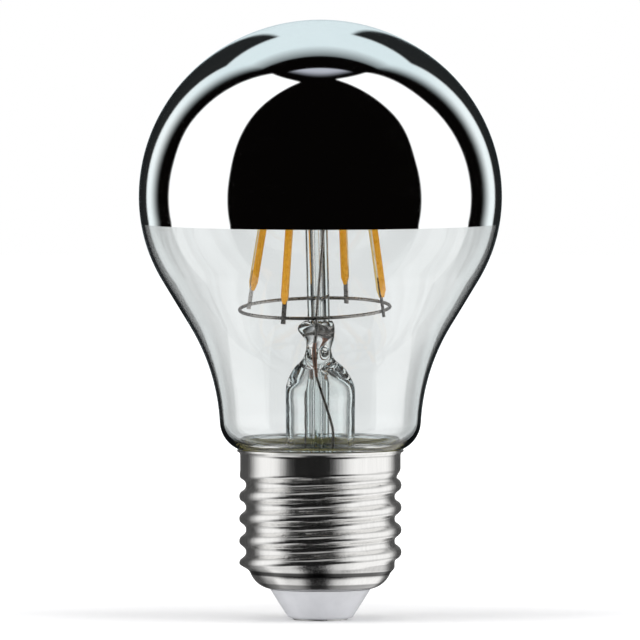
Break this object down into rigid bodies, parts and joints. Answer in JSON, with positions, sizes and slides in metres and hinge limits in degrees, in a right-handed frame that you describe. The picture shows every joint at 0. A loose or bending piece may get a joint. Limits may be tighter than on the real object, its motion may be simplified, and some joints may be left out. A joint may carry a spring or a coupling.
{
  "type": "light bulb",
  "caption": "Clear LED filament lamp with a silvered upper half, a pear-shaped glass bulb and a right-hand screw cap.",
  "frame": {"origin": "middle of the center contact's face at the foot of the cap", "axes": "+Z along the lamp's axis, towards the dome; -Y is the front"},
  "size_m": [0.059, 0.059, 0.0975],
  "materials": {
    "clear_glass": "clear, polished",
    "silver_mirror": "polished",
    "phosphor": "satin",
    "back_phosphor": "satin",
    "carrier_strip": "translucent",
    "nickel_wire": "drawn",
    "copper_clad_wire": "drawn",
    "tinned_wire": "drawn",
    "nickel_plate": "bright plated",
    "white_plastic": "moulded",
    "contact_metal": "plated",
    "cement": "cured, dull",
    "board_laminate": "laminate",
    "black_epoxy": "moulded",
    "capacitor_sleeve": "shrunk sleeve",
    "fuse_coating": "dipped lacquer"
  },
  "bodies": {
    "root": {"screw_cap": "nickel_plate", "insulator": "white_plastic", "center_contact": "contact_metal", "glass_bulb": "clear_glass", "mirror_coating": "silver_mirror", "basing_cement": "cement", "stem": "clear_glass", "exhaust_tube": "clear_glass", "center_post": "clear_glass", "lower_ring": "nickel_wire", "upper_ring": "nickel_wire", "cross_wire": "nickel_wire", "top_lead": "nickel_wire", "ring_lead": "nickel_wire", "seal_wire_front": "copper_clad_wire", "seal_wire_back": "copper_clad_wire", "outer_lead_front": "tinned_wire", "outer_lead_back": "tinned_wire", "driver_board": "board_laminate", "smoothing_capacitor": "capacitor_sleeve", "rectifier": "black_epoxy", "driver_chip": "black_epoxy", "fuse_resistor": "fuse_coating", "contact_wire": "tinned_wire", "cap_wire": "tinned_wire", "filament_1": "phosphor", "filament_1_back_coating": "back_phosphor", "filament_1_strip": "carrier_strip", "filament_1_lower_tab": "nickel_wire", "filament_1_upper_tab": "nickel_wire", "filament_2": "phosphor", "filament_2_back_coating": "back_phosphor", "filament_2_strip": "carrier_strip", "filament_2_lower_tab": "nickel_wire", "filament_2_upper_tab": "nickel_wire", "filament_3": "phosphor", "filament_3_back_coating": "back_phosphor", "filament_3_strip": "carrier_strip", "filament_3_lower_tab": "nickel_wire", "filament_3_upper_tab": "nickel_wire", "filament_4": "phosphor", "filament_4_back_coating": "back_phosphor", "filament_4_strip": "carrier_strip", "filament_4_lower_tab": "nickel_wire", "filament_4_upper_tab": "nickel_wire"}
  },
  "joints": []
}
